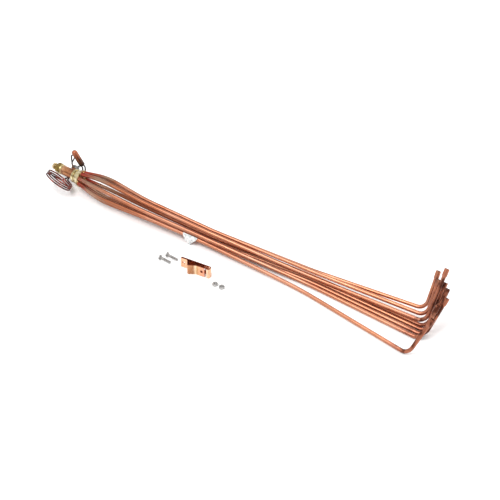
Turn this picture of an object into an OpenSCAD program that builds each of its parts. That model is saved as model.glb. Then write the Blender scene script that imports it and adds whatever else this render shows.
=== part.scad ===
// Refrigerant distributor assembly for a small evaporator coil: a flare inlet fitting, a fixed-superheat
// expansion valve, a brass distributor with eight long feeder tubes, the sensing bulb on its coiled
// capillary, and the loose clamp, screws and nuts that hold the bulb to a suction line.
// All sizes in millimetres. +X runs from the inlet along the feeder tubes, +Y to the back, +Z up.

/* [Feeder tubes] */
// outside diameter of a feeder tube
tube_od = 6.35; // [6.2:0.05:6.4]
// wall thickness of a feeder tube
tube_wall = 0.8; // [0.6:0.05:1]
// centre line radius of the bend at the far end of a feeder tube
elbow_radius = 15; // [13:0.5:17]
// radius of the bend at the belly of the bundle
belly_bend = 150; // [140:5:160]
// radius of the bends at the waist and the middle
waist_bend = 300; // [280:10:320]
// radius of the bend where a tube comes to rest
rest_bend = 500; // [460:10:540]
// length of the widened socket at the end of a feeder tube
swage_len = 13; // [11:1:15]
// inside diameter of the widened socket
swage_id = 6.5; // [6.45:0.05:6.6]
// angle between a feeder tube and the axis where it leaves the distributor
flare_angle = 11.5; // [11:0.1:11.8]
// where the feeder tubes stand widest apart, from the inlet
belly_x = 108; // [104:1:110]
// where the feeder tubes come together again, from the inlet
waist_x = 190; // [185:1:200]
// distance from the axis to a feeder tube at the waist
waist_r = 13.2; // [13:0.1:14]
// where the feeder tubes bend once more between waist and table, from the inlet
middle_x = 320; // [310:5:330]
// where the feeder tubes come to rest on the table, from the inlet
rest_x = 500; // [480:5:510]
// depth of the table below the axis of the valve
table_z = 21.5; // [21.5:0.1:22]

/* [Distributor] */
// outside diameter of the distributor ring next to the valve
ring_d = 23; // [21.5:0.5:23]
// outside diameter of the distributor at its outlet face
outlet_d = 28.6; // [28.6:0.2:32]
// outlet face of the distributor, from the inlet
outlet_x = 62; // [61.5:0.5:63]
// distance from the axis to a feeder tube at the outlet face
seat_r = 10.4; // [10.2:0.1:10.6]
// depth that a feeder tube goes into the distributor
seat_depth = 7; // [6:0.5:8]
// diameter of the hole in the distributor nozzle
nozzle_d = 3; // [1.5:0.1:5]

/* [Valve] */
// diameter of the thread on the inlet fitting
flare_d = 11.1; // [10:0.1:12.5]
// bore of the inlet fitting
inlet_bore = 4.8; // [4:0.1:5]
// size of the inlet hexagon across its flats
hex_af = 15.9; // [14:0.1:16.5]
// outside diameter of the valve body
body_d = 15.9; // [15.5:0.1:16.5]
// where the valve pin crosses the body, from the inlet
pin_x = 36; // [35.5:0.5:36]
// diameter of the valve port
port_d = 2.4; // [2:0.1:2.6]
// diameter of the push rod
rod_d = 1.4; // [1.2:0.1:1.6]
// travel of the valve pin
pin_travel = 0.8; // [0.4:0.1:0.8]
// outside diameter of the power head rims
head_d = 16.5; // [16:0.5:17]
// thickness of the diaphragm
diaphragm_t = 0.25; // [0.15:0.05:0.3]

/* [Bulb and capillary] */
// outside diameter of the capillary tube
capillary_od = 2.4; // [2:0.1:2.4]
// bore of the capillary tube
capillary_bore = 1; // [0.7:0.1:1.2]
// radius of the coil in the capillary tube
coil_r = 22.5; // [22:0.5:22.5]
// distance between turns of the coil
coil_pitch = 3.3; // [3.2:0.1:3.5]
// outside diameter of the sensing bulb
bulb_d = 9.6; // [9:0.1:10]
// length of the sensing bulb
bulb_len = 33; // [28:1:45]

/* [Clamp kit] */
// thickness of the clamp sheet
sheet_t = 1.5; // [1.2:0.1:1.6]
// width of the clamp sheet
sheet_w = 17.5; // [16:0.5:19]
// length of the clamp strap
strap_len = 53; // [52:1:56]
// diameter of the screw shank
screw_d = 4.2; // [4:0.1:4.4]
// length of the screw shank
screw_len = 19; // [16:1:20]
// diameter of the screw head
screw_head_d = 8.2; // [7.5:0.1:8.6]
// size of a nut across its flats
nut_af = 8.7; // [8:0.1:9.5]
// thickness of a nut
nut_t = 3.2; // [2.8:0.1:4]

/* [Label] */
// length of the label flag along the tubes
label_len = 24; // [18:1:30]
// thickness of the label
label_t = 0.4; // [0.3:0.1:0.6]

/* [Hidden] */

slip = 0.05;            // radial clearance of a part that is pushed in and brazed
run = 0.05;             // radial clearance of a part that slides
gap = 0.3;              // free space between loose pieces
draw = 0.01;            // how much the wall of a tube is drawn thinner on each side in a bend
hex_x = 9;              // start of the inlet hexagon
body_x = 17;            // start of the valve body
body_end = 46;          // end of the valve body and start of the distributor ring
spigot_len = 6;         // depth of a spigot in the valve body
spigot_d = 12.7;        // diameter of a spigot
nozzle_seat = body_end - spigot_len; // start of the distributor's spigot, which holds the nozzle
nozzle_od = 9;          // bore of the spigot that the nozzle is pushed into
rest_z = tube_od / 2 + 0.05 - table_z;
swage_od = swage_id + 2 * tube_wall;
tube_bore = tube_od - 2 * tube_wall;
clamp_x = 318;          // left end of the clamp, from the inlet
clamp_y = -58;          // back face of the clamp, from the axis
clamp_z = -table_z;

// clock angle about the axis, 0 up and 90 to the back
clock = [80, 35, 350, 125, 170, 215, 305, 260];
// where each tube comes to rest: distance back and height
rest_at = [[40, -6], [32.5, -1.5], [31, -11], [41.5, rest_z], [34.5, rest_z], [27.8, rest_z], [20.8, rest_z],
           [3, rest_z]];
// where each tube passes the waist: clock angle and extra distance from the axis
waist_at = [[80, 0], [35, 0], [350, 0], [125, 0], [170, 0], [215, 1.4], [292, 0.2], [252, 1.4]];
// where each tube runs at middle_x: distance back and height
middle_at = [[22.5, -3], [17, 2.5], [7, 5], [20.5, -14.5], [12.5, -16], [5, -15], [0.5, -3.5],
             [-1.5, -11]];
// corner of each bent leg
corner = [[690, 66, -5], [699, 55, -7], [706, 42, -7], [708, 44, rest_z], [713, 36, rest_z],
          [715, 26, rest_z], [714, 16, rest_z], [718, -23, rest_z]];
// how far each leg leans back, how far it leans away from the valve, and its length past the corner
leg = [[30, 0, 62], [31, 0, 59], [37, 0, 87], [38, 0, 74], [35, 5, 73], [37, 10, 67], [35, 8, 58],
       [36, 15, 65]];

function unit(v) = v / norm(v);
function around(a) = [0, sin(a), cos(a)];
function seat_point(a) = [outlet_x - seat_depth, 0, 0] + (seat_r - seat_depth * tan(flare_angle)) * around(a);
function belly_point(a) = [belly_x, 0, 0] + (seat_r + (belly_x - outlet_x) * tan(flare_angle)) * around(a);
function waist_point(w) = [waist_x, 0, 0] + (waist_r + w[1]) * around(w[0]);
function leg_way(l) = [sin(l[1]), cos(l[1]) * sin(l[0]), cos(l[1]) * cos(l[0])];
function tube_line(k) = [seat_point(clock[k]), belly_point(clock[k]), waist_point(waist_at[k]),
                         [middle_x, middle_at[k][0], middle_at[k][1]],
                         [rest_x, rest_at[k][0], rest_at[k][1]], corner[k],
                         corner[k] + leg[k][2] * leg_way(leg[k])];

// Straight run of pipe along +Z.
module pipe_run(d, bore, len) {
  difference() {
    cylinder(d = d, h = len, $fn = 48);
    translate([0, 0, -1]) cylinder(d = bore, h = len + 2, $fn = 48);
  }
}

// Bend that starts along +Z and turns towards +X, trimmed square to the next run.
module pipe_bend(d, bore, radius, turn) {
  difference() {
    translate([radius, 0, 0]) rotate([90, 0, 180])
      rotate_extrude(angle = turn + 2, $fn = 240) translate([radius, 0]) difference() {
        circle(d = d - 2 * draw, $fn = 48);
        circle(d = bore + 2 * draw, $fn = 48);
      }
    translate([radius, 0, 0]) rotate([0, turn, 0])
      translate([-radius - d, -d, 0]) cube([2 * d, 2 * d, radius * sin(2) + d]);
  }
}

// Follows the corners p with bend radii r; fx, fy and fz are the turning frame as it stands.
module pipe_from(p, r, k, fx, fy, fz, used, d, bore) {
  last = k == len(p) - 2;
  next = last ? fz : unit(p[k + 2] - p[k + 1]);
  turn = last ? 0 : acos(next * fz);
  cut = last ? 0 : r[k] * tan(turn / 2);
  span = norm(p[k + 1] - p[k]) - used - cut;
  pipe_run(d, bore, span);
  if (!last) {
    roll = atan2(next * fy, next * fx);
    gx = cos(roll) * fx + sin(roll) * fy;
    gy = cos(roll) * fy - sin(roll) * fx;
    translate([0, 0, span]) rotate([0, 0, roll]) {
      pipe_bend(d, bore, r[k], turn);
      translate([r[k], 0, 0]) rotate([0, turn, 0]) translate([-r[k], 0, 0])
        pipe_from(p, r, k + 1, cos(turn) * gx - sin(turn) * fz, gy, next, cut, d, bore) children();
    }
  } else {
    translate([0, 0, span]) children();
  }
}

module bent_pipe(p, r, d, bore) {
  fz = unit(p[1] - p[0]);
  tilt = acos(fz[2]);
  spin = atan2(fz[1], fz[0]);
  fx = [cos(tilt) * cos(spin), cos(tilt) * sin(spin), -sin(tilt)];
  fy = [-sin(spin), cos(spin), 0];
  translate(p[0]) rotate([0, tilt, spin]) pipe_from(p, r, 0, fx, fy, fz, 0, d, bore) children();
}

// Turns a solid drawn along +Z to lie along +X or +Y.
module along_x(x = 0) {
  translate([x, 0, 0]) rotate([0, 90, 0]) children();
}
module along_y(y = 0, x = pin_x) {
  translate([x, y, 0]) rotate([-90, 0, 0]) children();
}
// Stands a solid at a feeder tube's seat, along the tube.
module at_seat(k) {
  rotate([-clock[k], 0, 0]) translate([outlet_x, 0, seat_r]) rotate([0, 90 - flare_angle, 0]) children();
}

// ---- inlet ----
module inlet_fitting() color("goldenrod") difference() {
  union() {
    along_x() cylinder(d1 = flare_d - 4.3, d2 = flare_d, h = 2.15, $fn = 64);
    along_x(2.15) cylinder(d = flare_d, h = hex_x - 1, $fn = 64);
    along_x(hex_x) intersection() {
      rotate([0, 0, 30]) cylinder(d = hex_af / cos(30), h = body_x - hex_x, $fn = 6);
      cylinder(d1 = hex_af * 1.06, d2 = hex_af * 1.06 + 32, h = 16, $fn = 64);
    }
    along_x(body_x - 2) cylinder(d = spigot_d, h = spigot_len + 2, $fn = 64);
  }
  along_x(-1) cylinder(d = inlet_bore, h = 40, $fn = 48);
  along_x(12) cylinder(d = 8, h = 20, $fn = 48);
}

module inlet_strainer() color("silver") difference() {
  union() {
    along_x(12) cylinder(d = 8 - 2 * slip, h = 1.2, $fn = 48);
    along_x(12.5) cylinder(d1 = 7, d2 = 5.6, h = 9, $fn = 48);
  }
  along_x(11) cylinder(d = 5.4, h = 3, $fn = 48);
  along_x(13.9) cylinder(d1 = 5.4, d2 = 4.6, h = 7, $fn = 48);
}

// ---- valve ----
chamber_y = -7;         // blind end of the pin chamber
port_y = -0.5;          // face of the port towards the pin
boss_y = 9.6;           // top of the boss under the power head
head_y = 13;            // rim between the two halves of the power head
buffer_y = boss_y + 1.1 + pin_travel;
cone_d = 2.3 * port_d - 1.92;  // wide end of the pin, so that its cone just closes the port
module valve_body() color("peru") difference() {
  union() {
    along_x(body_x) cylinder(d = body_d, h = body_end - body_x, $fn = 72);
    along_y() cylinder(d = 11, h = boss_y, $fn = 64);
  }
  along_x(body_x - 1) cylinder(d = spigot_d + 2 * slip, h = spigot_len + 1, $fn = 64);
  along_x(body_end - spigot_len) cylinder(d = spigot_d + 2 * slip, h = spigot_len + 1, $fn = 64);
  along_y(chamber_y) cylinder(d = 6, h = port_y - chamber_y, $fn = 48);
  along_y(-1) cylinder(d = port_d, h = 4, $fn = 48);
  along_y(1.2) cylinder(d = 4, h = 2.6, $fn = 48);
  along_y(0) cylinder(d = rod_d + 2 * run, h = boss_y + 1, $fn = 48);
  translate([body_x + spigot_len - 1, -3.8, 0]) rotate([0, 90, 0])
    cylinder(d = 3.4, h = pin_x - body_x - spigot_len + 1, $fn = 48);
  translate([pin_x, 2.5, 0]) rotate([0, 90, 0])
    cylinder(d = 2.4, h = body_end - spigot_len - pin_x + 1, $fn = 48);
}

module valve_pin() color("silver") {
  along_y(port_y - 1.3) cylinder(d1 = cone_d, d2 = 1.4, h = 2.3, $fn = 48);
  along_y(port_y - 2.1) cylinder(d = cone_d, h = 0.8, $fn = 48);
}

module push_rod() color("silver")
  along_y(port_y + 1) cylinder(d = rod_d, h = buffer_y - port_y - 1, $fn = 48);

// The spring stands in the blind end of the chamber, drawn at its shortest length.
module superheat_spring() color("dimgray")
  for (k = [0 : 2])
    along_y(chamber_y + 0.5 + 0.9 * k) rotate_extrude($fn = 72) translate([1.9, 0]) circle(d = 0.92, $fn = 24);

module buffer_plate() color("silver") {
  along_y(buffer_y) cylinder(d = 9.6, h = 1, $fn = 64);
  along_y(buffer_y + 0.9) cylinder(d = 4, h = head_y - buffer_y - 0.9, $fn = 48);
}

module diaphragm() color("gainsboro")
  along_y(head_y) cylinder(d = head_d, h = diaphragm_t, $fn = 72);

module power_head_lower() color("silver") difference() {
  union() {
    along_y(boss_y) cylinder(d = 13, h = 3, $fn = 64);
    along_y(head_y - 1) cylinder(d = head_d, h = 1, $fn = 72);
  }
  along_y(boss_y + 0.8) cylinder(d = 10.6, h = 5, $fn = 64);
  along_y(boss_y - 1) cylinder(d = 2.2, h = 5, $fn = 48);
}

module power_head_upper() color("silver") difference() {
  union() {
    along_y(head_y + diaphragm_t) cylinder(d = head_d, h = 1, $fn = 72);
    along_y(head_y + 1 + diaphragm_t) cylinder(d1 = 14, d2 = 10, h = 2, $fn = 72);
    along_y(16) cylinder(d = 5, h = 2.6, $fn = 48);
  }
  along_y(12) cylinder(d = 10.6, h = 2.6, $fn = 64);
  along_y(14.6) cylinder(d1 = 10.6, d2 = 6, h = 1, $fn = 64);
  along_y(15) cylinder(d = 1.4, h = 5, $fn = 48);
  along_y(16.6) cylinder(d = capillary_od + 2 * slip, h = 5, $fn = 48);
}

// ---- distributor ----
module distributor_body() color("burlywood") difference() {
  union() {
    along_x(nozzle_seat) cylinder(d = spigot_d, h = spigot_len, $fn = 64);
    along_x(body_end) cylinder(d = ring_d, h = 4, $fn = 72);
    along_x(body_end + 4) cylinder(d1 = ring_d - 2, d2 = outlet_d, h = outlet_x - body_end - 6, $fn = 72);
    along_x(outlet_x - 2) cylinder(d = outlet_d, h = 2, $fn = 72);
  }
  along_x(nozzle_seat - 1) cylinder(d = nozzle_od, h = 5, $fn = 48);
  along_x(nozzle_seat + 3) cylinder(d = 7, h = spigot_len - 1, $fn = 48);
  along_x(body_end + 1) cylinder(d = 18, h = 3.5, $fn = 64);
  for (k = [0 : 7]) at_seat(k) {
    translate([0, 0, -seat_depth / cos(flare_angle)]) cylinder(d = tube_od + 2 * slip, h = 12, $fn = 48);
    translate([0, 0, -12.5]) cylinder(d = 3.6, h = 8, $fn = 48);
  }
}

module distributor_nozzle() color("khaki") difference() {
  along_x(nozzle_seat + 2) cylinder(d = nozzle_od - 2 * slip, h = 2, $fn = 48);
  along_x(nozzle_seat + 1) cylinder(d = nozzle_d, h = 4, $fn = 48);
  along_x(nozzle_seat + 1.9) cylinder(d1 = nozzle_d + 2.2, d2 = nozzle_d, h = 1.1, $fn = 48);
}

module nozzle_retainer() color("silver") difference() {
  along_x(nozzle_seat + 1) cylinder(d = nozzle_od - 2 * slip, h = 1, $fn = 48);
  along_x(nozzle_seat) cylinder(d = 6.4, h = 3, $fn = 48);
}

module braze_fillets() color("darkgoldenrod") difference() {
  for (k = [0 : 7]) at_seat(k) difference() {
    translate([0, 0, -1]) cylinder(d1 = tube_od + 1.85, d2 = tube_od + 0.35, h = 2.3, $fn = 48);
    translate([0, 0, -2]) cylinder(d = tube_od + 0.04, h = 5, $fn = 48);
  }
  along_x(outlet_x - 6) cylinder(d = 60, h = 6, $fn = 48);
}

// ---- feeder tubes ----
module swage() {
  difference() {
    union() {
      cylinder(d1 = tube_od, d2 = swage_od, h = 2, $fn = 48);
      translate([0, 0, 2]) cylinder(d = swage_od, h = swage_len - 2, $fn = 48);
    }
    translate([0, 0, -1]) cylinder(d = tube_bore, h = 3, $fn = 48);
    translate([0, 0, 0.4]) cylinder(d1 = tube_bore, d2 = swage_id, h = 1.8, $fn = 48);
    translate([0, 0, 2.2]) cylinder(d = swage_id, h = swage_len, $fn = 48);
  }
}

module feeder(k) color("sandybrown") {
  line = tube_line(k);
  count = len(line);
  way = unit(line[count - 1] - line[count - 2]);
  trimmed = [for (i = [0 : count - 1]) i == count - 1 ? line[i] - swage_len * way : line[i]];
  bent_pipe(trimmed, [belly_bend, waist_bend, waist_bend, rest_bend, elbow_radius], tube_od, tube_bore) swage();
}
module feeder_tube_1() { feeder(0); }
module feeder_tube_2() { feeder(1); }
module feeder_tube_3() { feeder(2); }
module feeder_tube_4() { feeder(3); }
module feeder_tube_5() { feeder(4); }
module feeder_tube_6() { feeder(5); }
module feeder_tube_7() { feeder(6); }
module feeder_tube_8() { feeder(7); }

// ---- bulb and capillary ----
coil_centre = [37.5, -24.5, 5];
coil_axis = unit([0.29, 0.64, 0.71]);
coil_u = unit(cross(coil_axis, cross([0.858, 0.183, -0.479], coil_axis)));
coil_v = cross(coil_u, coil_axis);
function coil_corner(k) = coil_centre + coil_r * sqrt(2) * (cos(90 * k) * coil_u + sin(90 * k) * coil_v)
                          - coil_axis * coil_pitch * (k + 0.5) / 4;
bulb_base = [47.2, 18, 11.2];
bulb_way = unit([-0.265, -0.297, 0.918]);
bulb_side = unit([0.75, 0.53, 0.39]);
bulb_neck = bulb_base - 2.2 * bulb_side - 1.5 * bulb_way;

module capillary_tube() color("sienna") {
  lead = [[pin_x, 16.7, 0], [pin_x, 24.5, 0], [13, 24.5, -10], [30.5, 25, 24], [21.5, 20, 17.5], [24, 19.5, -8],
          [35, -6.5, -10.8]];
  coil = [for (k = [0 : 10]) coil_corner(k)];
  tail = [[21.5, -6, -17.5], [27, 17, -16.5], [47.5, 18.5, -15], [47, 18.5, 3], bulb_neck - 3 * bulb_way,
          bulb_neck + 2.4 * bulb_way];
  line = concat(lead, coil, tail);
  radii = concat([4, 4, 2.8, 2.8, 4, 4], [for (k = [0 : 10]) 0.97 * coil_r], [4, 4, 4, 5, 5]);
  bent_pipe(line, radii, capillary_od, capillary_bore);
}

// Stands a solid drawn along +Z at the bulb's base, along the bulb.
module at_bulb(p = bulb_base) {
  translate(p) rotate([0, acos(bulb_way[2]), atan2(bulb_way[1], bulb_way[0])]) children();
}

module sensing_bulb() color("chocolate") difference() {
  union() {
    at_bulb() cylinder(d1 = bulb_d - 1.6, d2 = bulb_d, h = 1, $fn = 64);
    at_bulb() translate([0, 0, 1]) cylinder(d = bulb_d, h = bulb_len - 1 - bulb_d / 2, $fn = 64);
    at_bulb() translate([0, 0, bulb_len - bulb_d / 2]) sphere(d = bulb_d, $fn = 64);
  }
  at_bulb() translate([0, 0, 1.4]) cylinder(d = bulb_d - 1.6, h = bulb_len - bulb_d, $fn = 64);
  at_bulb(bulb_neck) cylinder(d = capillary_od + 2 * slip, h = 6, $fn = 48);
  at_bulb(bulb_neck + 4.4 * bulb_side) cylinder(d = 2.4 + 2 * slip, h = 6, $fn = 48);
}

// Short fill tube of the bulb, pinched shut.
module charge_stub() color("dimgray") {
  base = bulb_neck + 4.4 * bulb_side + 2.4 * bulb_way;
  bent_pipe([base, base - 7 * bulb_way, base - 7 * bulb_way - [0, 0, 7]], [4], 2.4, 1) {
    cylinder(d = 2.4, h = 1, $fn = 48);
    translate([-1.4, -0.5, 0.5]) cube([2.8, 1, 3.5]);
  }
}

// ---- label ----
label_hang = 12;        // how far the label hangs below the middle of its tube
label_lean = 3;         // how far the label runs on above its fold
label_x = 285;          // left end of the label, from the inlet
function lean_end(r) = r * [cos(135), sin(135)] + label_lean * [cos(45), sin(45)];
function fold(r) = r / cos(22.5) * [cos(157.5), sin(157.5)];
module label_strip() {
  near = tube_od / 2 + 0.03;
  far = near + label_t;
  polygon([lean_end(near), fold(near), [-near, -label_hang], [-far, -label_hang], fold(far), lean_end(far)]);
}
// A flag laid over the front tube, cut to a point that hangs down to the table.
module label_flag() color("white") {
  line = tube_line(7);
  way = unit(line[3] - line[2]);
  translate(line[2] + way * (label_x - waist_x) / way[0])
    rotate([0, -asin(way[2]), atan2(way[1], way[0])]) intersection() {
      translate([-3, 0, 0]) rotate([90, 0, 90]) linear_extrude(height = label_len + 3) label_strip();
      translate([0, 9, 0]) rotate([90, 0, 0]) linear_extrude(height = 18)
        polygon([[-1, 9], [label_len - 2, 9], [label_len - 3, 4], [label_len - 5, 1], [12.5, -8.5],
                 [11, 0.5 - label_hang], [9, 0.5 - label_hang], [4, -9], [0.5, -4], [-1.5, 1]]);
    }
}

// ---- clamp kit ----
module on_clamp() {
  translate([clamp_x, clamp_y, clamp_z]) rotate([0, 0, 8]) children();
}
// Bent sheet that follows the points p, standing w tall.
function across(p, i) = let (v = unit(p[i + 1] - p[i])) [-v[1], v[0]];
function mitre(p, i) = i == 0 ? across(p, 0) : i == len(p) - 1 ? across(p, i - 1)
                       : (across(p, i - 1) + across(p, i)) / (1 + across(p, i - 1) * across(p, i));
module sheet(p, w) {
  last = len(p) - 1;
  left = [for (i = [0 : last]) p[i] + mitre(p, i) * sheet_t / 2];
  right = [for (i = [0 : last]) p[last - i] - mitre(p, last - i) * sheet_t / 2];
  linear_extrude(height = w) polygon(concat(left, right));
}
module screw_hole(u) {
  translate([u, 10, sheet_w / 2]) rotate([90, 0, 0]) cylinder(d = screw_d + 0.6, h = 40, $fn = 48);
}
hole_u = [5, strap_len - 12.5];
module clamp_strap() color("sandybrown") difference() {
  on_clamp() sheet([[0, 0], [strap_len - 0.5, 0], [strap_len + 0.6, -1.2], [strap_len + 0.6, -6.6],
                    [strap_len - 0.6, -7.6], [strap_len - 4, -7.6]], sheet_w);
  on_clamp() for (u = hole_u) screw_hole(u);
}
module clamp_saddle() color("sandybrown") difference() {
  on_clamp() translate([0, -sheet_t - gap, 0])
    sheet([[0, 0], [10.5, 0], [12.5, -1], [18.6, -11], [19.8, -11], [30, -6], [31.5, -5.8],
           [strap_len - 7.5, -5.8]], sheet_w);
  on_clamp() for (u = hole_u) screw_hole(u);
}

module screw() {
  difference() {
    union() {
      intersection() {
        cylinder(d = screw_head_d, h = 2.8, $fn = 48);
        translate([0, 0, 5.2]) sphere(d = 10.6, $fn = 64);
      }
      translate([0, 0, 2.7]) cylinder(d = screw_d, h = screw_len + 0.1, $fn = 48);
    }
    for (a = [0, 90]) rotate([0, 0, a]) translate([-2.4, -0.55, -1]) cube([4.8, 1.1, 2.6]);
  }
}
// A screw lies on the rim of its head and the tip of its shank.
module lying(x, y, spin) {
  lean = atan2((screw_head_d - screw_d) / 2, screw_len);
  translate([x, y, clamp_z + screw_head_d / 2 + 0.3]) rotate([0, 0, spin]) rotate([0, 90 + lean, 0]) screw();
}
module clamp_screws() color("silver") {
  lying(279.5, -66.8, 4);
  lying(284, -54.6, 4);
}

module nut() {
  difference() {
    intersection() {
      cylinder(d = nut_af / cos(30), h = nut_t, $fn = 6);
      translate([0, 0, nut_t / 2]) sphere(d = nut_af * 1.22, $fn = 64);
    }
    translate([0, 0, -1]) cylinder(d = screw_d + 0.1, h = nut_t + 2, $fn = 48);
  }
}
module clamp_nuts() color("silver") {
  translate([389.5, -64.5, clamp_z]) rotate([0, 0, 12]) nut();
  translate([402, -64, clamp_z]) rotate([0, 0, 40]) nut();
}

inlet_fitting();
inlet_strainer();
valve_body();
valve_pin();
push_rod();
superheat_spring();
buffer_plate();
diaphragm();
power_head_lower();
power_head_upper();
distributor_body();
distributor_nozzle();
nozzle_retainer();
braze_fillets();
feeder_tube_1();
feeder_tube_2();
feeder_tube_3();
feeder_tube_4();
feeder_tube_5();
feeder_tube_6();
feeder_tube_7();
feeder_tube_8();
capillary_tube();
sensing_bulb();
charge_stub();
label_flag();
clamp_strap();
clamp_saddle();
clamp_screws();
clamp_nuts();
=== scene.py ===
import math

import bmesh
import bpy
from mathutils import Matrix, Vector


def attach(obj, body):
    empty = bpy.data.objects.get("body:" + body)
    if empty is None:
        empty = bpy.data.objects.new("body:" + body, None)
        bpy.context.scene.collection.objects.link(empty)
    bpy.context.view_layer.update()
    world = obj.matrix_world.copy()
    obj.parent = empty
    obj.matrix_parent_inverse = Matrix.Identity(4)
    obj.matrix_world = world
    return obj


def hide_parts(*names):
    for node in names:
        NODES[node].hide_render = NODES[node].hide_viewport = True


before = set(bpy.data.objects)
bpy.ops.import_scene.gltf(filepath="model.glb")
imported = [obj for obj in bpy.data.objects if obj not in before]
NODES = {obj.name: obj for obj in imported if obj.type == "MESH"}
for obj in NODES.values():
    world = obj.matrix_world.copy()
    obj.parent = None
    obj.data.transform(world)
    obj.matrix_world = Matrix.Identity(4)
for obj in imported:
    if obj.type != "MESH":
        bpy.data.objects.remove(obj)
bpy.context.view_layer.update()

MM = 0.001
BASE = "distributor_assembly"

# ---- camera: far off with a narrow view, from the front right and well above ----
AZIMUTH, ELEVATION = math.radians(37.3), math.radians(38)
LOOK_AT, AWAY = Vector((0.40793, 0, 0.0156)), 3.0
right = Vector((math.cos(AZIMUTH), math.sin(AZIMUTH), 0))
back = Vector((math.sin(AZIMUTH) * math.cos(ELEVATION), -math.cos(AZIMUTH) * math.cos(ELEVATION),
               math.sin(ELEVATION)))
lens = bpy.data.cameras.new("camera")
lens.lens = 139.36
lens.sensor_width = 36
lens.sensor_fit = "HORIZONTAL"
lens.clip_end = 30
camera = bpy.data.objects.new("camera", lens)
bpy.context.scene.collection.objects.link(camera)
camera.matrix_world = Matrix.Translation(LOOK_AT + AWAY * back) @ Matrix(
    (right, back.cross(right), back)).transposed().to_4x4()
bpy.context.scene.camera = camera


# ---- shader helpers ----
def lin(hex_code, alpha=1.0):
    """An sRGB hex colour as linear RGBA."""
    out = []
    for k in (0, 2, 4):
        c = int(hex_code[k:k + 2], 16) / 255
        out.append(c / 12.92 if c <= 0.04045 else ((c + 0.055) / 1.055) ** 2.4)
    return (*out, alpha)


def add(tree, kind, sockets=None, stops=(), **settings):
    """Adds a node. sockets are hex colours, values or outputs to link, stops the colours of a ramp."""
    node = tree.nodes.new("ShaderNode" + kind)
    for key, value in settings.items():
        setattr(node, key, value)
    for key, value in (sockets or {}).items():
        if isinstance(value, bpy.types.NodeSocket):
            tree.links.new(value, node.inputs[key])
        else:
            node.inputs[key].default_value = lin(value) if isinstance(value, str) else value
    for k, (position, colour) in enumerate(stops):
        ramp = node.color_ramp.elements
        stop = ramp[k] if k < len(ramp) else ramp.new(position)
        stop.position = position
        stop.color = lin(colour)
    return node.outputs


def new_material(name, **sockets):
    """A material with its tree, its Principled shader and its Object coordinates in metres."""
    material = bpy.data.materials.new(name)
    material.use_nodes = True
    tree = material.node_tree
    shader = tree.nodes["Principled BSDF"]
    for key, value in sockets.items():
        shader.inputs[key.replace("_", " ")].default_value = value
    return material, tree, shader, add(tree, "TexCoord")["Object"]


def finish(tree, shader, colour, roughness, normal):
    tree.links.new(colour, shader.inputs["Base Color"])
    tree.links.new(roughness, shader.inputs["Roughness"])
    tree.links.new(normal, shader.inputs["Normal"])


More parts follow.
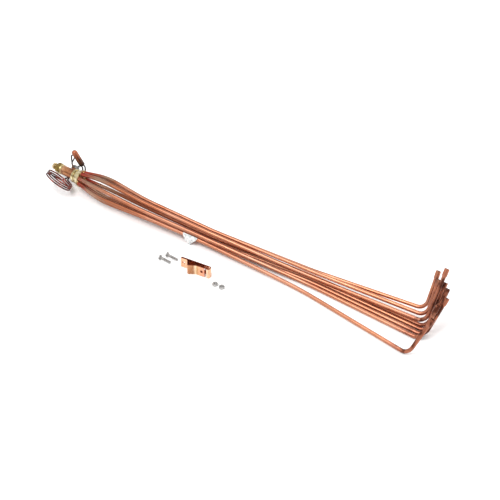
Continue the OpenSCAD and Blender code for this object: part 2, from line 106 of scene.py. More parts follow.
# ---- materials ----
def drawn_copper_tube():
    """Soft copper tube, drawn through a die and bent by hand.

    The eye sees a soft broad highlight, faint lines along the tube, a crimson heat tint where it was brazed
    into the distributor and a grey-tan stretch after it; the bent ends carry painted shade, darker with dark
    streaks.
    """
    material, tree, shader, place = new_material("drawn_copper_tube", Metallic=1.0)
    along = add(tree, "Mapping", {"Vector": place, "Scale": (0.3, 1, 1)})[0]
    stain = add(tree, "TexNoise", {"Vector": along, "Scale": 1000 / 24, "Detail": 4.0})[0]
    mark = add(tree, "TexNoise", {"Vector": along, "Scale": 1000 / 5, "Detail": 3.0})[0]
    drawn = add(tree, "Mapping", {"Vector": place, "Scale": (0.02, 1, 1)})[0]
    # die lines are far finer than 1 mm: drawn coarser so that they show at all
    lines = add(tree, "TexNoise", {"Vector": drawn, "Scale": 1000 / 1.1, "Detail": 2.0})[0]
    wander = add(tree, "MapRange", {"Value": stain, "From Min": 0.3, "From Max": 0.7,
                                    "To Min": -0.02, "To Max": 0.02})[0]
    x = add(tree, "SeparateXYZ", {"Vector": place})[0]
    far = add(tree, "Math", {0: x, 1: wander}, operation="ADD")[0]
    zone = add(tree, "MapRange", {"Value": far, "From Min": 0.0, "From Max": 0.8})[0]
    # past 0.84 the stops darken the bent ends and legs: painted shade
    tint = add(tree, "ValToRGB", {"Fac": zone}, stops=[
        (0.085, "b0443a"), (0.1, "a5523f"), (0.116, "a98b76"), (0.14, "a5806a"), (0.16, "a5674a"),
        (0.26, "b06c4e"), (0.45, "c4866a"), (0.84, "c88868"), (0.875, "b27058"), (0.94, "9c5e48"),
        (1.0, "a8674f")])[0]
    marked = add(tree, "MapRange", {"Value": mark, "From Min": 0.4, "From Max": 0.8,
                                    "To Min": 0.0, "To Max": 0.4})[0]
    tone = add(tree, "Mix", {0: marked, 6: tint, 7: "b5785a"}, data_type="RGBA")[2]
    bright = add(tree, "MapRange", {"Value": stain, "From Min": 0.52, "From Max": 0.75,
                                    "To Min": 0.0, "To Max": 0.5})[0]
    tone = add(tree, "Mix", {0: bright, 6: tone, 7: "cfa18a"}, data_type="RGBA")[2]
    # dark streaks down the bent ends are painted shade and painted reflection
    upright = add(tree, "Mapping", {"Vector": place, "Scale": (1, 0.4, 0.3)})[0]
    streak = add(tree, "TexNoise", {"Vector": upright, "Scale": 1000 / 7, "Detail": 3.0})[0]
    streaked = add(tree, "MapRange", {"Value": streak, "From Min": 0.46, "From Max": 0.58,
                                      "To Min": 0.0, "To Max": 0.9})[0]
    bent_end = add(tree, "MapRange", {"Value": far, "From Min": 0.69, "From Max": 0.715})[0]
    painted_shade_streaks = add(tree, "Math", {0: streaked, 1: bent_end}, operation="MULTIPLY")[0]
    tone = add(tree, "Mix", {0: painted_shade_streaks, 6: tone, 7: "47231a"}, data_type="RGBA")[2]
    lined = add(tree, "MapRange", {"Value": lines, "From Min": 0.45, "From Max": 0.8,
                                   "To Min": 0.0, "To Max": 0.4})[0]
    tone = add(tree, "Mix", {0: lined, 6: tone, 7: "7c4430"}, data_type="RGBA")[2]
    rough = add(tree, "MapRange", {"Value": stain, "From Min": 0.3, "From Max": 0.75,
                                   "To Min": 0.27, "To Max": 0.44})[0]
    normal = add(tree, "Bump", {"Height": lines, "Distance": 0.00004, "Strength": 0.35})[0]
    finish(tree, shader, tone, rough, normal)
    return material


def turned_metal(name, light, mid, dark, spot=5, rough=(0.24, 0.38), groove=0.3, zones=()):
    """Bar stock turned on a lathe round X: fine rings across it and soft handling spots.

    zones are colours along it, as distances from the inlet in metres: partly heat and wear, partly painted
    light and shade.
    """
    material, tree, shader, place = new_material(name, Metallic=1.0)
    blotch = add(tree, "TexNoise", {"Vector": place, "Scale": 1000 / spot, "Detail": 4.0})[0]
    turned = add(tree, "Mapping", {"Vector": place, "Scale": (1, 0.03, 0.03)})[0]
    # tool marks are about 0.1 mm apart: drawn 0.6 mm apart so that they show
    rings = add(tree, "TexNoise", {"Vector": turned, "Scale": 1000 / 0.6, "Detail": 2.0})[0]
    tone = add(tree, "ValToRGB", {"Fac": blotch}, stops=[(0.28, dark), (0.5, mid), (0.72, light)])[0]
    if zones:
        start, end = zones[0][0], zones[-1][0]
        x = add(tree, "SeparateXYZ", {"Vector": place})[0]
        share = add(tree, "MapRange", {"Value": x, "From Min": start, "From Max": end})[0]
        zoned = add(tree, "ValToRGB", {"Fac": share}, stops=[
            ((at - start) / (end - start), colour) for at, colour in zones])[0]
        tone = add(tree, "Mix", {0: 0.65, 6: tone, 7: zoned}, data_type="RGBA")[2]
    ringed = add(tree, "MapRange", {"Value": rings, "From Min": 0.5, "From Max": 0.85,
                                    "To Min": 0.0, "To Max": groove})[0]
    tone = add(tree, "Mix", {0: ringed, 6: tone, 7: dark}, data_type="RGBA")[2]
    shine = add(tree, "MapRange", {"Value": blotch, "From Min": 0.3, "From Max": 0.7,
                                   "To Min": rough[0], "To Max": rough[1]})[0]
    normal = add(tree, "Bump", {"Height": rings, "Distance": 0.00003, "Strength": 0.4})[0]
    finish(tree, shader, tone, shine, normal)
    return material


def tarnished_capillary():
    """Thin copper capillary: maroon oxide on the coil, slate grey further back (towards +Y)."""
    material, tree, shader, place = new_material("tarnished_capillary", Metallic=1.0)
    patch = add(tree, "TexNoise", {"Vector": place, "Scale": 1000 / 12, "Detail": 3.0})[0]
    speck = add(tree, "TexNoise", {"Vector": place, "Scale": 1000 / 1.5, "Detail": 2.0})[0]
    slate = add(tree, "ValToRGB", {"Fac": patch}, stops=[
        (0.34, "3a3d42"), (0.5, "4f4446"), (0.68, "77594c")])[0]
    maroon = add(tree, "ValToRGB", {"Fac": patch}, stops=[
        (0.36, "37383c"), (0.46, "6e332c"), (0.66, "a05a50")])[0]
    y = add(tree, "SeparateXYZ", {"Vector": place})[1]
    further_back = add(tree, "MapRange", {"Value": y, "From Min": -0.004, "From Max": 0.006})[0]
    tone = add(tree, "Mix", {0: further_back, 6: maroon, 7: slate}, data_type="RGBA")[2]
    dirt = add(tree, "MapRange", {"Value": speck, "From Min": 0.5, "From Max": 0.8,
                                  "To Min": 0.0, "To Max": 0.5})[0]
    tone = add(tree, "Mix", {0: dirt, 6: tone, 7: "2f2c2d"}, data_type="RGBA")[2]
    rough = add(tree, "MapRange", {"Value": speck, "From Min": 0.3, "From Max": 0.7,
                                   "To Min": 0.3, "To Max": 0.5})[0]
    normal = add(tree, "Bump", {"Height": speck, "Distance": 0.00002, "Strength": 0.3})[0]
    finish(tree, shader, tone, rough, normal)
    return material


def spun_bulb_copper():
    """Copper bulb, spun shut: bright at its round end, with painted shade darkening it towards the pinched
    end.
    """
    material, tree, shader, place = new_material("spun_bulb_copper", Metallic=1.0)
    blotch = add(tree, "TexNoise", {"Vector": place, "Scale": 1000 / 5, "Detail": 4.0})[0]
    upright = add(tree, "Mapping", {"Vector": place, "Scale": (1, 1, 0.05)})[0]
    lines = add(tree, "TexNoise", {"Vector": upright, "Scale": 1000 / 0.8, "Detail": 2.0})[0]
    wander = add(tree, "MapRange", {"Value": blotch, "From Min": 0.3, "From Max": 0.7,
                                    "To Min": -0.004, "To Max": 0.004})[0]
    z = add(tree, "SeparateXYZ", {"Vector": place})[2]
    high = add(tree, "Math", {0: z, 1: wander}, operation="ADD")[0]
    # darker towards the lower, pinched end: painted shade
    zone = add(tree, "MapRange", {"Value": high, "From Min": 0.008, "From Max": 0.046})[0]
    tone = add(tree, "ValToRGB", {"Fac": zone}, stops=[
        (0.0, "26201f"), (0.2, "3c302d"), (0.42, "6d4a3d"), (0.75, "a5644b"), (1.0, "b0674c")])[0]
    lined = add(tree, "MapRange", {"Value": lines, "From Min": 0.5, "From Max": 0.8,
                                   "To Min": 0.0, "To Max": 0.35})[0]
    tone = add(tree, "Mix", {0: lined, 6: tone, 7: "6b4a3b"}, data_type="RGBA")[2]
    rough = add(tree, "MapRange", {"Value": blotch, "From Min": 0.3, "From Max": 0.7,
                                   "To Min": 0.3, "To Max": 0.45})[0]
    normal = add(tree, "Bump", {"Height": lines, "Distance": 0.00003, "Strength": 0.3})[0]
    finish(tree, shader, tone, rough, normal)
    return material


def plated_clamp_strip(name, zones):
    """Copper-plated strip, rolled and sheared: peach faces, with the light each face catches painted on.

    zones are colours along it, as distances from the inlet in metres: painted light and shade, one tone for
    each bent face. Its top edge is painted dark: painted shade.
    """
    material, tree, shader, place = new_material(name, Metallic=1.0)
    blotch = add(tree, "TexNoise", {"Vector": place, "Scale": 1000 / 6, "Detail": 3.0})[0]
    rolled = add(tree, "Mapping", {"Vector": place, "Scale": (0.03, 0.6, 1)})[0]
    lines = add(tree, "TexNoise", {"Vector": rolled, "Scale": 1000 / 0.7, "Detail": 2.0})[0]
    x, _, z = add(tree, "SeparateXYZ", {"Vector": place})
    start, end = zones[0][0], zones[-1][0]
    share = add(tree, "MapRange", {"Value": x, "From Min": start, "From Max": end})[0]
    tone = add(tree, "ValToRGB", {"Fac": share}, stops=[
        ((at - start) / (end - start), colour) for at, colour in zones])[0]
    worn = add(tree, "MapRange", {"Value": blotch, "From Min": 0.45, "From Max": 0.75,
                                  "To Min": 0.0, "To Max": 0.3})[0]
    tone = add(tree, "Mix", {0: worn, 6: tone, 7: "f6d3b4"}, data_type="RGBA")[2]
    lined = add(tree, "MapRange", {"Value": lines, "From Min": 0.5, "From Max": 0.8,
                                   "To Min": 0.0, "To Max": 0.3})[0]
    tone = add(tree, "Mix", {0: lined, 6: tone, 7: "a8714f"}, data_type="RGBA")[2]
    # a dark band along the top edge: painted shade
    painted_shade_top_edge = add(tree, "MapRange", {"Value": z, "From Min": -0.0046, "From Max": -0.0042})[0]
    tone = add(tree, "Mix", {0: painted_shade_top_edge, 6: tone, 7: "7c3c28"}, data_type="RGBA")[2]
    rough = add(tree, "MapRange", {"Value": blotch, "From Min": 0.3, "From Max": 0.7,
                                   "To Min": 0.2, "To Max": 0.34})[0]
    normal = add(tree, "Bump", {"Height": lines, "Distance": 0.00003, "Strength": 0.35})[0]
    finish(tree, shader, tone, rough, normal)
    return material


def mottled_steel(name, light, mid, dark, rough=(0.28, 0.45), spot=2):
    """Plated or bare steel: a fine mottle of crystals, duller in the dark spots."""
    material, tree, shader, place = new_material(name, Metallic=1.0)
    blotch = add(tree, "TexNoise", {"Vector": place, "Scale": 1000 / spot, "Detail": 4.0})[0]
    tone = add(tree, "ValToRGB", {"Fac": blotch}, stops=[(0.3, dark), (0.5, mid), (0.7, light)])[0]
    shine = add(tree, "MapRange", {"Value": blotch, "From Min": 0.3, "From Max": 0.7,
                                   "To Min": rough[0], "To Max": rough[1]})[0]
    normal = add(tree, "Bump", {"Height": blotch, "Distance": 0.00002, "Strength": 0.25})[0]
    finish(tree, shader, tone, shine, normal)
    return material


def braze_alloy():
    """Silver-brass brazing alloy, run in and set: lumpy, with dark flux in its dips."""
    material, tree, shader, place = new_material("braze_alloy", Metallic=1.0)
    lumps = add(tree, "TexNoise", {"Vector": place, "Scale": 1000 / 1.8, "Detail": 3.0})[0]
    tone = add(tree, "ValToRGB", {"Fac": lumps}, stops=[(0.3, "6b5137"), (0.5, "a98a5c"), (0.7, "c7ad80")])[0]
    rough = add(tree, "MapRange", {"Value": lumps, "From Min": 0.3, "From Max": 0.7,
                                   "To Min": 0.3, "To Max": 0.5})[0]
    normal = add(tree, "Bump", {"Height": lumps, "Distance": 0.0002, "Strength": 0.5})[0]
    finish(tree, shader, tone, rough, normal)
    return material


def label_film():
    """Crumpled white polypropylene film: creases with painted grey shade in them, a soft sheen, and a faint
    glow that is painted light.
    """
    # its faint emission is painted light: it brightens the film where it hangs in shade
    material, tree, shader, place = new_material(
        "label_film", Subsurface_Weight=0.3, Subsurface_Scale=0.002, Subsurface_Radius=(1, 1, 1),
        Coat_Weight=0.2, Coat_Roughness=0.25, Emission_Color=lin("f4f8ff"), Emission_Strength=0.07)
    creases = add(tree, "TexNoise", {"Vector": place, "Scale": 1000 / 4, "Detail": 4.0})[0]
    # grey-blue tones where the crease noise is low: painted shade in the creases
    tone = add(tree, "ValToRGB", {"Fac": creases}, stops=[
        (0.34, "b4bfc1"), (0.48, "e9eded"), (0.6, "fdfdfd")])[0]
    rough = add(tree, "MapRange", {"Value": creases, "From Min": 0.3, "From Max": 0.7,
                                   "To Min": 0.3, "To Max": 0.5})[0]
    normal = add(tree, "Bump", {"Height": creases, "Distance": 0.0006, "Strength": 0.6})[0]
    finish(tree, shader, tone, rough, normal)
    return material


COPPER = drawn_copper_tube()
# the valve body darkens towards the distributor: partly heat tint, partly painted shade
VALVE_COPPER = turned_metal("plated_valve_body", "cfa07a", "b98760", "7d5340", 4, (0.28, 0.42), 0.5, zones=[
    (0.0215, "cda27e"), (0.030, "bd8158"), (0.038, "95583a"), (0.046, "75462f")])
# the fitting's zones are partly painted light and shade: pale at the nose face and the collar, darker over
# the hexagon
BRASS = turned_metal("machined_brass", "e0c890", "ac8f50", "5f5630", 4, zones=[
    (0.0, "eadcc6"), (0.004, "c4ae86"), (0.0085, "6f5726"), (0.013, "80662e"), (0.0168, "584716"),
    (0.0178, "c6b286"), (0.0215, "c2ac84")])
DISTRIBUTOR_BRASS = turned_metal("distributor_brass", "eee6cc", "dacca2", "ab9a6c", 9)
CAPILLARY = tarnished_capillary()
BULB = spun_bulb_copper()
# painted shade and highlight: darker where the strap's inner faces lie in shade, a painted highlight on the
# bend at its end
STRAP = plated_clamp_strip("plated_clamp_strap", [
    (0.318, "b0644a"), (0.363, "b06048"), (0.3655, "c98a66"), (0.368, "f8dcc0"), (0.372, "e2b08c")])
# painted light and shade: a brown panel on the ridge in shade, a pale painted highlight on the bend, peach
# faces in the light
SADDLE = plated_clamp_strip("plated_clamp_saddle", [
    (0.318, "e2a883"), (0.330, "efc3a0"), (0.3385, "c08a66"), (0.346, "a06c4a"), (0.349, "f6d8b6"),
    (0.3515, "c09460"), (0.355, "ecb48e"), (0.364, "e6a084")])
ZINC = mottled_steel("zinc_plated_steel", "c9c6c4", "aaa8a6", "7f7d7c")
STAINLESS = mottled_steel("stainless_steel", "b9b8b8", "9b9a9a", "777676", (0.25, 0.4), 4)
SPRING = mottled_steel("spring_steel", "8f8f90", "6f6f70", "4c4c4d")
BRAZE = braze_alloy()
LABEL = label_film()

WORN_BY = {
    BRASS: ["inlet_fitting", "distributor_nozzle"],
    VALVE_COPPER: ["valve_body"],
    STAINLESS: ["inlet_strainer", "valve_pin", "push_rod", "buffer_plate", "diaphragm", "power_head_lower",
                "power_head_upper"],
    SPRING: ["superheat_spring", "nozzle_retainer"],
    DISTRIBUTOR_BRASS: ["distributor_body"],
    BRAZE: ["braze_fillets"],
    COPPER: [f"feeder_tube_{k}" for k in range(1, 9)],
    CAPILLARY: ["capillary_tube", "charge_stub"],
    BULB: ["sensing_bulb"],
    LABEL: ["label_flag"],
    STRAP: ["clamp_strap"],
    SADDLE: ["clamp_saddle"],
    ZINC: ["clamp_screws", "clamp_nuts"],
}
for material, names in WORN_BY.items():
    for name in names:
        if not NODES[name].material_slots:
            NODES[name].data.materials.append(material)
        for slot in NODES[name].material_slots:
            slot.material = material


# ---- mesh helpers ----
def piece(name, bm, material, body, replaces=(), cutters=(), sheet=0.0, edge=0.0, smooth=35):
    """Makes a piece of bm: sheet gives it a wall, cutters are taken out, edge rounds its sharp edges."""
    mesh = bpy.data.meshes.new(name)
    bm.to_mesh(mesh)
    bm.free()
    obj = bpy.data.objects.new(name, mesh)
    bpy.context.scene.collection.objects.link(obj)
    if sheet:
        wall = obj.modifiers.new("wall", "SOLIDIFY")
        wall.thickness, wall.offset, wall.use_even_offset = sheet, 0.0, True
    for tool in cutters:
        hole = obj.modifiers.new("hole", "BOOLEAN")
        hole.object, hole.solver = tool, "EXACT"
    if edge:
        round_off = obj.modifiers.new("edge", "BEVEL")
        round_off.width, round_off.segments, round_off.angle_limit = edge, 3, math.radians(50)
    bpy.context.view_layer.update()
    shaped = bpy.data.meshes.new_from_object(obj.evaluated_get(bpy.context.evaluated_depsgraph_get()))
    obj.modifiers.clear()
    obj.data = shaped
    for tool in cutters:
        bpy.data.objects.remove(tool)
    shaped.materials.clear()
    shaped.materials.append(material)
    shaped.polygons.foreach_set("use_smooth", [True] * len(shaped.polygons))
    shaped.set_sharp_from_angle(angle=math.radians(smooth))
    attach(obj, body)
    if replaces:
        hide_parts(*replaces)
    return obj


def turned(profile, steps):
    """A solid turned round Z from a closed or axis-to-axis profile of (radius, height) in mm."""
    bm = bmesh.new()
    points = [bm.verts.new((radius * MM, 0, height * MM)) for radius, height in profile]
    ring = list(zip(points, points[1:]))
    if profile[0][0] > 0:
        ring.append((points[-1], points[0]))
    edges = [bm.edges.new(pair) for pair in ring]
    bmesh.ops.spin(bm, geom=points + edges, axis=(0, 0, 1), angle=2 * math.pi, steps=steps, use_merge=True)
    bmesh.ops.remove_doubles(bm, verts=bm.verts, dist=0.000001)
    bmesh.ops.recalc_face_normals(bm, faces=bm.faces)
    return bm


def reshape(bm, radius_at):
    """Moves every point of a turned solid in or out to radius_at(radius, angle, height), all in mm."""
    for v in bm.verts:
        old = math.hypot(v.co.x, v.co.y) / MM
        if old > 0:
            new = radius_at(old, math.atan2(v.co.y, v.co.x), v.co.z / MM)
            v.co.x *= new / old
            v.co.y *= new / old


def heights(start, end, step):
    """Heights for the rows of points that a thread needs, in mm."""
    rows = round((end - start) / step)
    return [start + (end - start) * k / rows for k in range(rows + 1)]


def thread_depth(angle, height, pitch, depth, start, end):
    """How deep a right-handed thread groove is, fading out over its last turn at each end."""
    turn = (height / pitch - angle / (2 * math.pi)) % 1.0
    fade = max(0.0, min(1.0, (height - start) / pitch, (end - height) / pitch))
    return depth * fade * min(1.0, 1.25 * abs(2 * turn - 1))


def hexagon_radius(angle, flats):
    return flats / 2 / math.cos((angle + math.pi / 6) % (math.pi / 3) - math.pi / 6)


def cutting_tool(bm, place):
    """A loose object to cut with, put in place."""
    bmesh.ops.transform(bm, matrix=place, verts=bm.verts)
    mesh = bpy.data.meshes.new("cutting_tool")
    bm.to_mesh(mesh)
    bm.free()
    obj = bpy.data.objects.new("cutting_tool", mesh)
    bpy.context.scene.collection.objects.link(obj)
    return obj


# ---- inlet fitting: flare nose, thread, chamfered hexagon, collar round the valve body, spigot ----
FLARE_D, FLARE_BORE, FACE_R = 11.1, 4.8, 4.9
FLARE_PITCH, FLARE_DEPTH, THREAD_START, THREAD_END = 1.15, 0.55, 2.0, 8.2
HEX_X, BODY_X, HEX_AF, CHAMFER_R = 9.0, 17.0, 15.9, 8.1
COLLAR_END, COLLAR_D = 21.5, 16.6
BODY_D, SPIGOT_D, SPIGOT_LEN, SPIGOT_BORE, BORE_STEP = 15.9, 12.7, 6.0, 8.0, 12.0


def inlet_fitting():
    bore, crest = FLARE_BORE / 2, FLARE_D / 2
    corner = HEX_AF / 2 / math.cos(math.pi / 6)
    end = BODY_X + SPIGOT_LEN
    profile = [(bore, 0.6), (bore + 0.4, 0), (FACE_R, 0), (crest - 0.15, 0.5), (crest, 1.3)]
    profile += [(crest, height) for height in heights(THREAD_START + 0.1, HEX_X - 0.2, FLARE_PITCH / 10)]
    profile += [(crest - 0.7, HEX_X - 0.12), (CHAMFER_R - 0.6, HEX_X), (CHAMFER_R, HEX_X + 0.2),
                (corner, HEX_X + 1), (corner, BODY_X - 0.6), (COLLAR_D / 2 + 0.3, BODY_X),
                (COLLAR_D / 2, BODY_X + 0.5), (COLLAR_D / 2, COLLAR_END - 0.3),
                (COLLAR_D / 2 - 0.3, COLLAR_END), (BODY_D / 2 + 0.02, COLLAR_END),
                (BODY_D / 2 + 0.02, BODY_X), (SPIGOT_D / 2, BODY_X), (SPIGOT_D / 2, end - 0.2),
                (SPIGOT_D / 2 - 0.2, end), (SPIGOT_BORE / 2, end), (SPIGOT_BORE / 2, BORE_STEP),
                (bore, BORE_STEP)]
    bm = turned(profile, 144)

    def shaped(radius, angle, height):
        if THREAD_START < height < HEX_X - 0.15 and radius > 5:
            return radius - thread_depth(angle, height, FLARE_PITCH, FLARE_DEPTH, THREAD_START, THREAD_END)
        if HEX_X <= height < BODY_X and radius > SPIGOT_D / 2 + 0.1:
            return min(radius, hexagon_radius(angle, HEX_AF))
        return radius

    reshape(bm, shaped)
    bmesh.ops.rotate(bm, matrix=Matrix.Rotation(math.pi / 2, 3, "Y"), verts=bm.verts)
    piece("inlet_fitting_turned", bm, BRASS, BASE, ["inlet_fitting"], smooth=32)


# ---- clamp kit: bent strip, pan-head screws, nuts ----
TABLE_Z = -21.5
SHEET_T, SHEET_W = 1.5, 17.5
HOLES_AT = (5, 40.5)
ON_CLAMP = Matrix.Translation(Vector((318, -58, TABLE_Z)) * MM) @ Matrix.Rotation(math.radians(8), 4, "Z")
SCREW_D, SCREW_LEN, SCREW_PITCH, SCREW_DEPTH, NUT_DEPTH = 4.2, 19.0, 0.794, 0.42, 0.3
HEAD_D, HEAD_H, CROSS = 8.2, 2.8, (4.8, 1.0, 1.5)
NUT_AF, NUT_T = 8.7, 3.2


def clamp_holes():
    tools = []
    across = Matrix.Rotation(-math.pi / 2, 4, "X")
    for u in HOLES_AT:
        bm = bmesh.new()
        radius = (SCREW_D / 2 + 0.3) * MM
        bmesh.ops.create_cone(bm, segments=48, radius1=radius, radius2=radius, depth=40 * MM, cap_ends=True)
        place = ON_CLAMP @ Matrix.Translation(Vector((u, 0, SHEET_W / 2)) * MM) @ across
        tools.append(cutting_tool(bm, place))
    return tools


def clamp_sheet(name, body, node, material, line, bend, shift):
    """Strip stood on edge along a line in mm, bent round its corners, with two holes."""
    bm = bmesh.new()
    foot = [bm.verts.new((x * MM, (y + shift) * MM, 0)) for x, y in line]
    run = [bm.edges.new(pair) for pair in zip(foot, foot[1:])]
    raised = bmesh.ops.extrude_edge_only(bm, edges=run)["geom"]
    top = [g for g in raised if isinstance(g, bmesh.types.BMVert)]
    bmesh.ops.translate(bm, vec=(0, 0, SHEET_W * MM), verts=top)
    corners = [e for e in bm.edges if len(e.link_faces) == 2]
    bmesh.ops.bevel(bm, geom=corners, offset=bend * MM, segments=6, profile=0.5, affect="EDGES", material=-1)
    bmesh.ops.transform(bm, matrix=ON_CLAMP, verts=bm.verts)
    piece(name, bm, material, body, [node], clamp_holes(), SHEET_T * MM, 0.0003, 40)


def screw(number, x, y):
    crown = [(0, 0), (1.4, 0.04), (2.4, 0.13), (3.2, 0.35), (3.8, 0.8), (HEAD_D / 2, 1.6)]
    profile = crown + [(HEAD_D / 2, HEAD_H - 0.15), (HEAD_D / 2 - 0.15, HEAD_H)]
    tip = HEAD_H + SCREW_LEN
    profile += [(SCREW_D / 2, height) for height in heights(HEAD_H, tip - 0.4, 0.1)]
    profile += [(SCREW_D / 2 - 0.6, tip), (0, tip)]
    bm = turned(profile, 48)

    def shaped(radius, angle, height):
        if height > HEAD_H + 0.1 and radius > 1.6:
            return radius - thread_depth(angle, height, SCREW_PITCH, SCREW_DEPTH, HEAD_H + 0.8, tip + 0.6)
        return radius

    reshape(bm, shaped)
    lean = math.atan2((HEAD_D - SCREW_D) / 2, SCREW_LEN)
    place = Matrix.Translation(Vector((x, y, TABLE_Z + HEAD_D / 2 + 0.3)) * MM) @ Matrix.Rotation(
        math.radians(4), 4, "Z") @ Matrix.Rotation(math.pi / 2 + lean, 4, "Y")
    bmesh.ops.transform(bm, matrix=place, verts=bm.verts)
    slots = []
    for turn in (0, math.pi / 2):
        bar = bmesh.new()
        bmesh.ops.create_cube(bar, size=MM)
        bmesh.ops.scale(bar, vec=CROSS, verts=bar.verts)
        inward = Matrix.Rotation(turn, 4, "Z") @ Matrix.Translation((0, 0, 0.0006))
        slots.append(cutting_tool(bar, place @ inward))
    stands_for = ["clamp_screws"] if number == 1 else ()
    piece(f"clamp_screw_{number}", bm, ZINC, "screws", stands_for, slots)


def nut(number, x, y, turn):
    corner = NUT_AF / 2 / math.cos(math.pi / 6)
    inner = SCREW_D / 2 + 0.05
    profile = [(inner + 0.2, 0), (4.4, 0), (4.6, 0.12), (corner, 0.5), (corner, NUT_T - 0.5),
               (4.6, NUT_T - 0.12), (4.4, NUT_T), (inner + 0.2, NUT_T)]
    profile += [(inner, height) for height in reversed(heights(0.2, NUT_T - 0.2, 0.1))]
    bm = turned(profile, 72)

    def shaped(radius, angle, height):
        if radius < 3 and 0.15 < height < NUT_T - 0.15:
            return radius - thread_depth(angle, height, SCREW_PITCH, NUT_DEPTH, 0.2, NUT_T - 0.2)
        return min(radius, hexagon_radius(angle, NUT_AF))

    reshape(bm, shaped)
    place = Matrix.Translation(Vector((x, y, TABLE_Z)) * MM) @ Matrix.Rotation(math.radians(turn), 4, "Z")
    bmesh.ops.transform(bm, matrix=place, verts=bm.verts)
    piece(f"clamp_nut_{number}", bm, ZINC, "nuts", ["clamp_nuts"] if number == 1 else ())


# ---- crumpled label on the front tube ----
LABEL_X, LABEL_START, LABEL_LEN, LABEL_HANG, FOLD_R = 285.0, -4.5, 26.5, 11.5, 3.35
# its upper part lies against the tube above: how far up, and how steeply it leans back
LEAN, STEEP = 4.5, math.radians(77)
FILM_T = 0.25
WAIST_X, WAIST_OUT, WAIST_CLOCK = 190, 14.6, math.radians(252)
WAIST = Vector((WAIST_X, WAIST_OUT * math.sin(WAIST_CLOCK), WAIST_OUT * math.cos(WAIST_CLOCK)))
MIDDLE = Vector((320, -1.5, -11))
# lower edge of the label: along the tube, and height above the middle of the tube
LOWER_EDGE = [(-4.5, 1.5), (-2.5, -3), (2, -8.5), (8.5, -LABEL_HANG), (10.5, -LABEL_HANG), (12, -8.5),
              (19, -1), (22, 2.5)]


def label_depth(u):
    """How far its lower edge is from its top edge, round the fold, at u along the tube (mm)."""
    for (u0, z0), (u1, z1) in zip(LOWER_EDGE, LOWER_EDGE[1:]):
        if u <= u1:
            break
    z = z0 + (z1 - z0) * (u - u0) / (u1 - u0)
    if z <= 0:
        return LEAN + FOLD_R * (math.pi / 2 - STEEP) - z
    return LEAN - z / math.sin(STEEP)


def label_place(u, s):
    """The label at u along the tube and s from its top edge: leaning, round the tube, then hanging (mm)."""
    fold = FOLD_R * (math.pi / 2 - STEEP)
    if s < LEAN:
        n = Vector((0, -math.sin(STEEP), math.cos(STEEP)))
        p = n * FOLD_R + Vector((0, math.cos(STEEP), math.sin(STEEP))) * (LEAN - s)
    elif s < LEAN + fold:
        a = math.pi / 2 + STEEP + (s - LEAN) / FOLD_R
        n = Vector((0, math.cos(a), math.sin(a)))
        p = n * FOLD_R
    else:
        n = Vector((0, -1, 0))
        p = n * FOLD_R + Vector((0, 0, LEAN + fold - s))
    # two crossing waves crumple it more the further it hangs free
    crumple = 0.5 * math.sin(u * 1.15 + 0.12 * s) + 0.3 * math.sin(u * 2.3 - 0.5 * s + 1)
    loose = 0.35 + 1.6 * max(0.0, (s - LEAN - 1) / 14)
    return Vector((u, 0, 0)) + p + n * (0.25 + loose * (0.8 + crumple))


def label_flag():
    along = (MIDDLE - WAIST).normalized()
    start = WAIST + along * (LABEL_X - WAIST_X) / along.x
    place = Matrix.Translation(start * MM) @ Matrix.Rotation(math.atan2(along.y, along.x), 4, "Z") @ \
        Matrix.Rotation(-math.asin(along.z), 4, "Y")
    bm = bmesh.new()
    bmesh.ops.create_grid(bm, x_segments=60, y_segments=40, size=0.5)
    for v in bm.verts:
        u = LABEL_START + LABEL_LEN * (v.co.x + 0.5)
        v.co = label_place(u, label_depth(u) * (0.5 - v.co.y)) * MM
    bmesh.ops.transform(bm, matrix=place, verts=bm.verts)
    label = piece("label_flag_film", bm, LABEL, BASE, ["label_flag"], sheet=FILM_T * MM, smooth=60)


inlet_fitting()
clamp_sheet("clamp_strap_bent", "strap", "clamp_strap", STRAP,
            [(0, 0), (53.4, 0), (53.4, -7.6), (49, -7.6)], 1.7, 0)
clamp_sheet("clamp_saddle_bent", "saddle", "clamp_saddle", SADDLE,
            [(0, 0), (11.7, 0), (18.9, -11.5), (30.8, -5.8), (45.5, -5.8)], 1.2, -1.8)
screw(1, 279.5, -66.8)
screw(2, 284, -54.6)
nut(1, 389.5, -64.5, 12)
nut(2, 402, -64, 40)
label_flag()


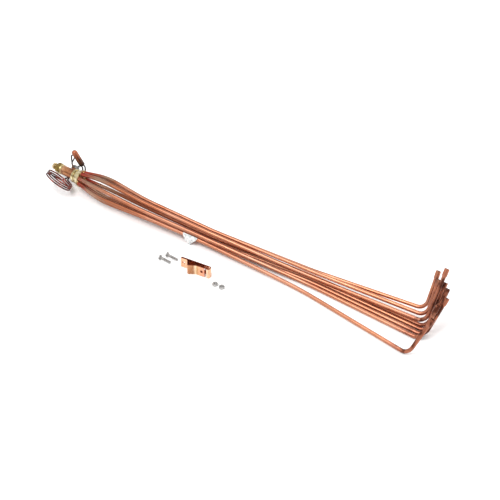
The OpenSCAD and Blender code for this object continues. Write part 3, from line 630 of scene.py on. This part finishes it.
# ---- floor, lamps and background ----
def floor():
    """Pale paper, white where it is seen, straight or in metal, and a little darker as a light source."""
    bm = bmesh.new()
    bmesh.ops.create_grid(bm, x_segments=1, y_segments=1, size=4)
    bmesh.ops.translate(bm, vec=(0.4, 0, TABLE_Z * MM - 0.0001), verts=bm.verts)
    mesh = bpy.data.meshes.new("floor")
    bm.to_mesh(mesh)
    bm.free()
    obj = bpy.data.objects.new("floor", mesh)
    bpy.context.scene.collection.objects.link(obj)
    paper, tree, shader, _ = new_material("white_paper", Base_Color=lin("fbfbfb"), Roughness=0.9,
                                          Specular_IOR_Level=0.0)
    dim = add(tree, "BsdfDiffuse", {"Color": "dcd8d4"})[0]
    ray = add(tree, "LightPath")
    seen = add(tree, "Math", {0: ray["Is Camera Ray"], 1: ray["Is Glossy Ray"]}, operation="MAXIMUM")[0]
    seen = add(tree, "Math", {0: seen, 1: ray["Is Transmission Ray"]}, operation="MAXIMUM")[0]
    pick = add(tree, "MixShader", {0: seen, 1: dim, 2: shader.outputs[0]})[0]
    tree.links.new(pick, tree.nodes["Material Output"].inputs["Surface"])
    mesh.materials.append(paper)


def lamp(name, at, size, power):
    data = bpy.data.lights.new(name, "AREA")
    data.shape = "RECTANGLE"
    data.size, data.size_y = size
    data.energy = power
    obj = bpy.data.objects.new(name, data)
    obj.location = at
    obj.rotation_euler = (Vector((0.4, 0, 0)) - Vector(at)).to_track_quat("-Z", "Y").to_euler()
    bpy.context.scene.collection.objects.link(obj)


floor()
world = bpy.data.worlds.new("studio")
world.use_nodes = True
backdrop = world.node_tree.nodes["Background"]
backdrop.inputs["Color"].default_value = (1, 1, 1, 1)
# as a light it is a little weaker than the white that is seen
seen = add(world.node_tree, "LightPath")["Is Camera Ray"]
strength = add(world.node_tree, "MapRange", {"Value": seen, "To Min": 0.9, "To Max": 1.0})[0]
world.node_tree.links.new(strength, backdrop.inputs["Strength"])
bpy.context.scene.world = world
lamp("key", (0.1, -0.9, 1.7), (1.2, 0.8), 22)
lamp("back", (0.6, 1.3, 1.2), (1.4, 0.5), 12)
bpy.context.scene.view_settings.view_transform = "Standard"
